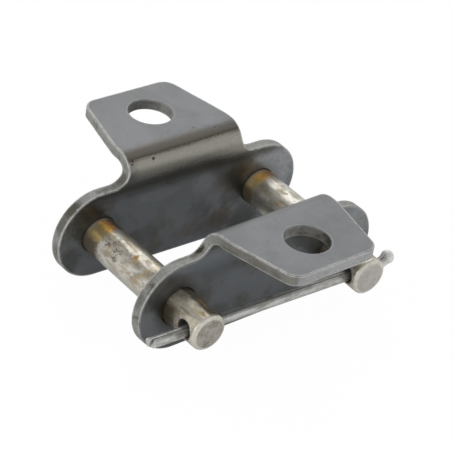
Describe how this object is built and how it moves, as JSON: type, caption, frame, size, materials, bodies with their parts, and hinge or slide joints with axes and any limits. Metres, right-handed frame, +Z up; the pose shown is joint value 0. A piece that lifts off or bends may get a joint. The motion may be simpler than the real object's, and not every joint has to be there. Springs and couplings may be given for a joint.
{
  "type": "chain connecting link",
  "caption": "Connecting link of a roller chain: two riveted pins, a loose cover plate held by a cotter pin, and a bent mounting tab with a hole on each side plate.",
  "frame": {"origin": "halfway between the two pin axes and halfway between the side plates' inner faces", "axes": "+X from the left pin's axis to the right pin's, +Y along the pins towards the rear plate that they're riveted in, +Z up, square to the mounting tabs"},
  "size_m": [0.0632, 0.0697, 0.026],
  "materials": {
    "rear_plate": "blackened, oiled steel plate, edges worn bright, light brown staining in the bend",
    "cover_plate": "blackened, oiled steel plate, edges worn bright, light brown staining in the bend",
    "left_pin": "bare ground steel with oil and small rust specks",
    "right_pin": "bare ground steel with oil and small rust specks",
    "cotter": "bright drawn steel wire"
  },
  "bodies": {
    "rear_link": {"rear_plate": "rear_plate", "left_pin": "left_pin", "right_pin": "right_pin"},
    "cover": {"cover_plate": "cover_plate"},
    "cotter_pin": {"cotter": "cotter"}
  },
  "joints": [
    {"name": "cover_plate_slide", "type": "slide", "parent": "rear_link", "child": "cover", "axis": [0, -1, 0], "range_m": [-0.0222, 0.0046]},
    {"name": "cotter_pull", "type": "slide", "parent": "rear_link", "child": "cotter_pin", "axis": [1, 0, 0], "range_m": [0, 0.066]}
  ]
}
